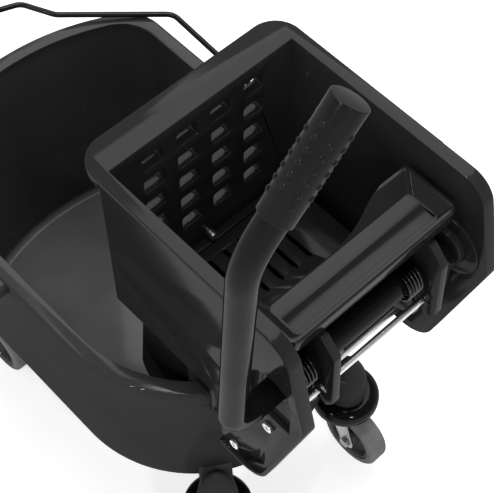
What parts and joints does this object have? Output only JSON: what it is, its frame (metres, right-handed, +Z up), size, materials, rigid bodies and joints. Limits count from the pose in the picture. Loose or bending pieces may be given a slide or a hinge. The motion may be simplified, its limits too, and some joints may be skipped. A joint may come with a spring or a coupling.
{
  "type": "mop bucket",
  "caption": "Mop bucket on swivel casters with a carrying bail and a lift-off wringer whose lever slides a press plate towards a perforated wall.",
  "frame": {"origin": "on the floor, on the bucket's middle plane, in the middle between the round end's centre and the bail's pivots", "axes": "+X towards the wringer and its lever, +Y towards the side away from the lever, +Z up"},
  "size_m": [0.6059, 0.356, 0.8544],
  "materials": {
    "bucket_plastic": "black moulded plastic, satin inside and out",
    "wringer_plastic": "black moulded plastic, satin",
    "press_plastic": "dark grey moulded plastic, satin",
    "bail_steel": "black coated wire",
    "zinc_steel": "zinc plated",
    "bright_steel": "bright plated",
    "spring_steel": "spring steel, oiled",
    "lever_paint": "dark grey enamel, glossy",
    "grip_rubber": "soft black rubber, matt",
    "bumper_rubber": "black rubber, matt",
    "caster_steel": "zinc plated pressed steel",
    "wheel_plastic": "grey plastic, satin",
    "tyre_rubber": "grey non-marking rubber, matt"
  },
  "bodies": {
    "bucket": {"bucket_shell": "bucket_plastic", "bail_ear_near": "bucket_plastic", "bail_ear_far": "bucket_plastic", "ear_rivets": "zinc_steel", "bumper_rear_near": "bumper_rubber", "caster_stem_rear_near": "caster_steel", "bumper_rear_far": "bumper_rubber", "caster_stem_rear_far": "caster_steel", "bumper_front_near": "bumper_rubber", "caster_stem_front_near": "caster_steel", "bumper_front_far": "bumper_rubber", "caster_stem_front_far": "caster_steel"},
    "bail": {"bail_wire": "bail_steel"},
    "wringer": {"wringer_housing": "wringer_plastic", "drain_chute": "wringer_plastic", "shaft_bearing_near": "wringer_plastic", "shaft_bearing_far": "wringer_plastic", "wringer_screws": "bright_steel", "tie_rod": "zinc_steel", "stop_pin": "bright_steel"},
    "press": {"press_plate": "press_plastic"},
    "lever": {"lever_tube": "lever_paint", "lever_grip": "grip_rubber", "shaft_cap": "wringer_plastic", "crank_arm_near": "wringer_plastic", "crank_arm_far": "wringer_plastic", "arm_pins": "zinc_steel", "cross_rod": "bright_steel", "rod_clips": "zinc_steel", "return_spring_near": "spring_steel", "return_spring_far": "spring_steel"},
    "swivel_rear_near": {"caster_fork_rear_near": "caster_steel", "axle_bolt_rear_near": "caster_steel"},
    "wheel_rear_near": {"wheel_core_rear_near": "wheel_plastic", "tyre_rear_near": "tyre_rubber"},
    "swivel_rear_far": {"caster_fork_rear_far": "caster_steel", "axle_bolt_rear_far": "caster_steel"},
    "wheel_rear_far": {"wheel_core_rear_far": "wheel_plastic", "tyre_rear_far": "tyre_rubber"},
    "swivel_front_near": {"caster_fork_front_near": "caster_steel", "axle_bolt_front_near": "caster_steel"},
    "wheel_front_near": {"wheel_core_front_near": "wheel_plastic", "tyre_front_near": "tyre_rubber"},
    "swivel_front_far": {"caster_fork_front_far": "caster_steel", "axle_bolt_front_far": "caster_steel"},
    "wheel_front_far": {"wheel_core_front_far": "wheel_plastic", "tyre_front_far": "tyre_rubber"}
  },
  "joints": [
    {"name": "bail_swing", "type": "hinge", "parent": "bucket", "child": "bail", "pos_m": [-0.05, 0, 0.35], "axis": [0, 1, 0], "range_deg": [0, 100]},
    {"name": "wringer_lift", "type": "slide", "parent": "bucket", "child": "wringer", "axis": [0, 0, 1], "range_m": [0, 0.06]},
    {"name": "lever_pull", "type": "hinge", "parent": "wringer", "child": "lever", "pos_m": [0.262, 0, 0.502], "axis": [0, 1, 0], "range_deg": [0, 75], "stiffness_Nm_per_rad": 2, "springref_deg": -17.19},
    {"name": "press_slide", "type": "slide", "parent": "wringer", "child": "press", "axis": [-1, 0, 0], "range_m": [0, 0.053]},
    {"name": "swivel_rear_near", "type": "hinge", "parent": "bucket", "child": "swivel_rear_near", "pos_m": [0.17991, -0.09412, 0.088], "axis": [0, 0, 1], "continuous": true},
    {"name": "wheel_rear_near", "type": "hinge", "parent": "swivel_rear_near", "child": "wheel_rear_near", "pos_m": [0.20191, -0.09412, 0.038], "axis": [0, 1, 0], "continuous": true},
    {"name": "swivel_rear_far", "type": "hinge", "parent": "bucket", "child": "swivel_rear_far", "pos_m": [0.17991, 0.09412, 0.088], "axis": [0, 0, 1], "continuous": true},
    {"name": "wheel_rear_far", "type": "hinge", "parent": "swivel_rear_far", "child": "wheel_rear_far", "pos_m": [0.20191, 0.09412, 0.038], "axis": [0, 1, 0], "continuous": true},
    {"name": "swivel_front_near", "type": "hinge", "parent": "bucket", "child": "swivel_front_near", "pos_m": [-0.18399, -0.12096, 0.088], "axis": [0, 0, 1], "continuous": true},
    {"name": "wheel_front_near", "type": "hinge", "parent": "swivel_front_near", "child": "wheel_front_near", "pos_m": [-0.16198, -0.12096, 0.038], "axis": [0, 1, 0], "continuous": true},
    {"name": "swivel_front_far", "type": "hinge", "parent": "bucket", "child": "swivel_front_far", "pos_m": [-0.18399, 0.12096, 0.088], "axis": [0, 0, 1], "continuous": true},
    {"name": "wheel_front_far", "type": "hinge", "parent": "swivel_front_far", "child": "wheel_front_far", "pos_m": [-0.16198, 0.12096, 0.038], "axis": [0, 1, 0], "continuous": true}
  ],
  "couplings": [
    {"joint": "press_slide", "follows": "lever_pull", "m_per_rad": 0.04}
  ]
}
